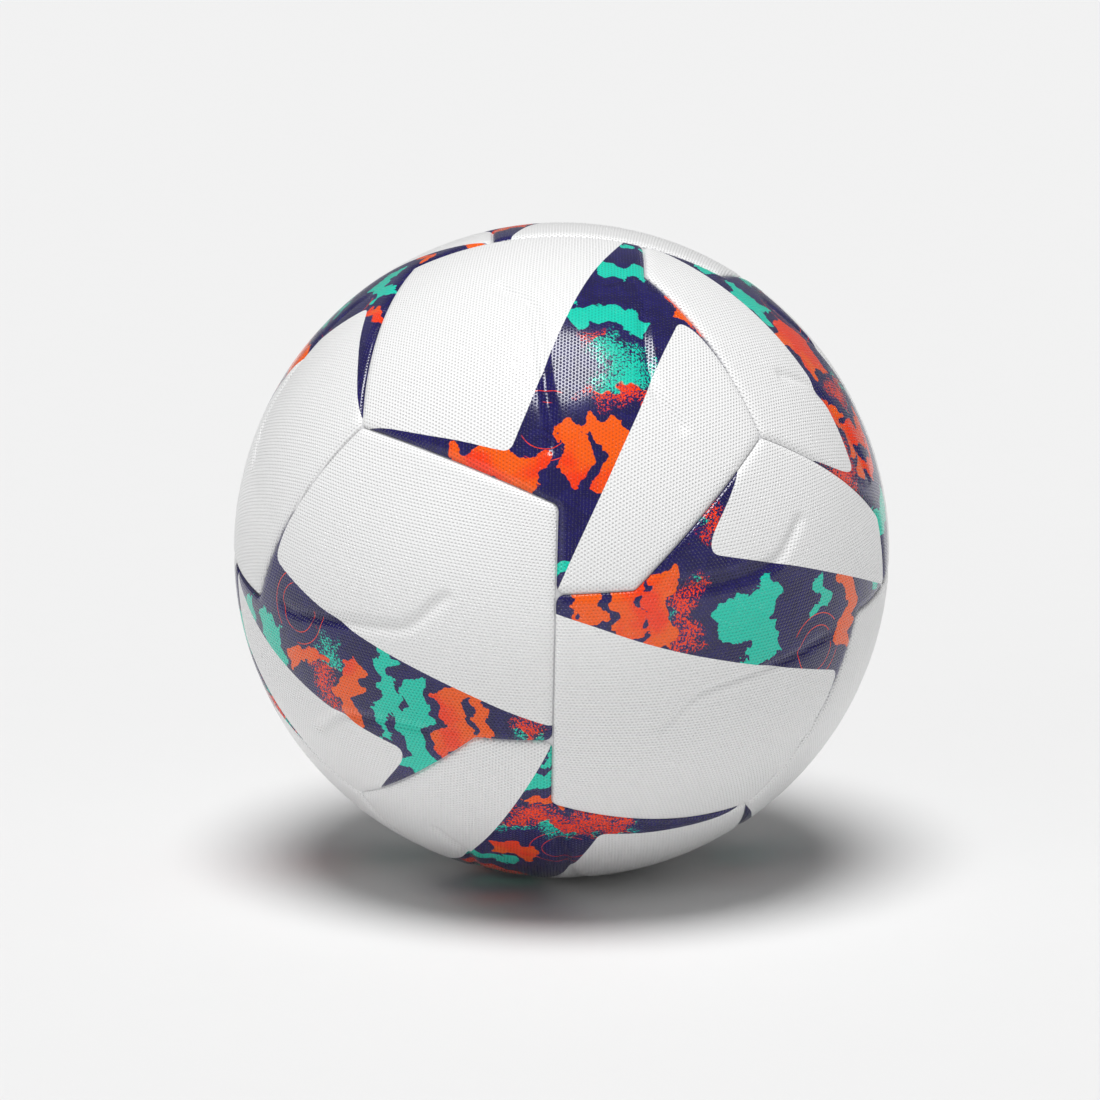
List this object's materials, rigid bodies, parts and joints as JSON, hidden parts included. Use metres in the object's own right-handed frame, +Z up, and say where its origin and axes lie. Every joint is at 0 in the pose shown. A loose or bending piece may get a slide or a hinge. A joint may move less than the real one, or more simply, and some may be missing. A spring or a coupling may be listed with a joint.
{
  "type": "soccer ball",
  "caption": "Round inflated ball with kinked, thermally bonded cover panels over foam, a textile carcass and a valved rubber bladder; for kicking games.",
  "frame": {"origin": "centre of the ball", "axes": "+Z up, -Y towards the viewer of the printed front, +X to that viewer's right; the panel pattern is leant back about 10 degrees as the ball rests"},
  "size_m": [0.2194, 0.2186, 0.2194],
  "materials": {
    "panel_skin": "satin polyurethane with a fine pressed grain, printed white with a navy band and orange and teal patches",
    "backing_foam": "matte closed-cell foam",
    "seam_adhesive": "matte pale hot-melt adhesive",
    "textile": "matte woven polyester",
    "bladder_rubber": "matte butyl rubber",
    "valve_core_rubber": "satin silicone rubber"
  },
  "bodies": {
    "root": {"panel_front_right_skin": "panel_skin", "panel_top_right_skin": "panel_skin", "panel_top_front_skin": "panel_skin", "panel_back_right_skin": "panel_skin", "panel_bottom_right_skin": "panel_skin", "panel_bottom_back_skin": "panel_skin", "panel_front_left_skin": "panel_skin", "panel_bottom_left_skin": "panel_skin", "panel_bottom_front_skin": "panel_skin", "panel_back_left_skin": "panel_skin", "panel_top_left_skin": "panel_skin", "panel_top_back_skin": "panel_skin", "panel_front_right_foam": "backing_foam", "panel_top_right_foam": "backing_foam", "panel_top_front_foam": "backing_foam", "panel_back_right_foam": "backing_foam", "panel_bottom_right_foam": "backing_foam", "panel_bottom_back_foam": "backing_foam", "panel_front_left_foam": "backing_foam", "panel_bottom_left_foam": "backing_foam", "panel_bottom_front_foam": "backing_foam", "panel_back_left_foam": "backing_foam", "panel_top_left_foam": "backing_foam", "panel_top_back_foam": "backing_foam", "seam_bond": "seam_adhesive", "carcass": "textile", "bladder": "bladder_rubber", "valve_body": "bladder_rubber", "valve_core": "valve_core_rubber", "valve_ring": "bladder_rubber", "valve_patch": "textile", "balance_patch": "bladder_rubber"}
  },
  "joints": []
}
